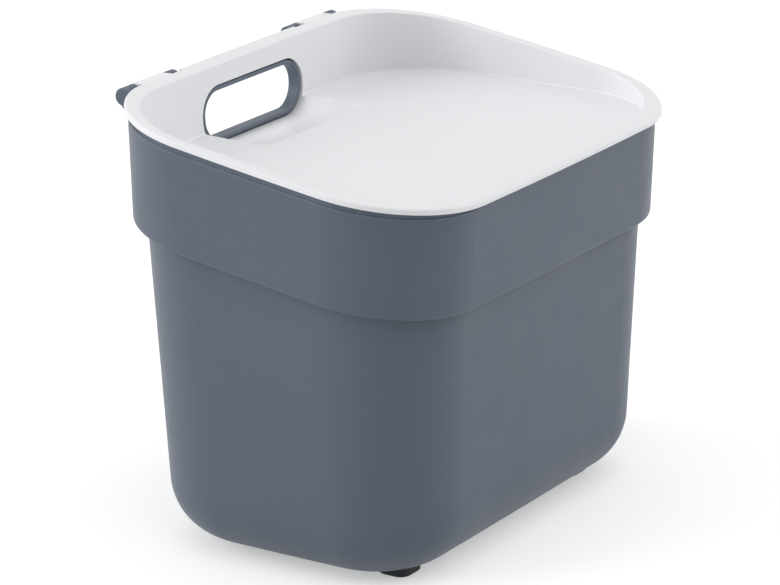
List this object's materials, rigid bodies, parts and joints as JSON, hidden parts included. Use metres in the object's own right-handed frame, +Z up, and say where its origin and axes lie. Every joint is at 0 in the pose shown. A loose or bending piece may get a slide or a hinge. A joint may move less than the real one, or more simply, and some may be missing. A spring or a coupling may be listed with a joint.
{
  "type": "waste caddy",
  "caption": "Small tapered kitchen waste caddy with a deep sloping collar and a sunk lid that hinges at the back, opened by a hand hole.",
  "frame": {"origin": "on the floor, under the middle of the whole caddy's box", "axes": "+Z up, +X along the width, -Y the front, +Y the hinge side"},
  "size_m": [0.2402, 0.1774, 0.1955],
  "materials": {
    "dark_plastic": "satin, fine moulded grain",
    "light_plastic": "satin, fine moulded grain",
    "foot_rubber": "matte"
  },
  "bodies": {
    "bin": {"bucket": "dark_plastic", "collar": "dark_plastic", "hinge_pin_left": "dark_plastic", "hinge_pin_right": "dark_plastic", "foot_front_left": "foot_rubber", "foot_front_right": "foot_rubber", "foot_back_left": "foot_rubber", "foot_back_right": "foot_rubber"},
    "lid": {"lid": "light_plastic"}
  },
  "joints": [
    {"name": "lid_hinge", "type": "hinge", "parent": "bin", "child": "lid", "pos_m": [0, 0.08306, 0.191], "axis": [-1, 0, 0], "range_deg": [0, 105]}
  ]
}
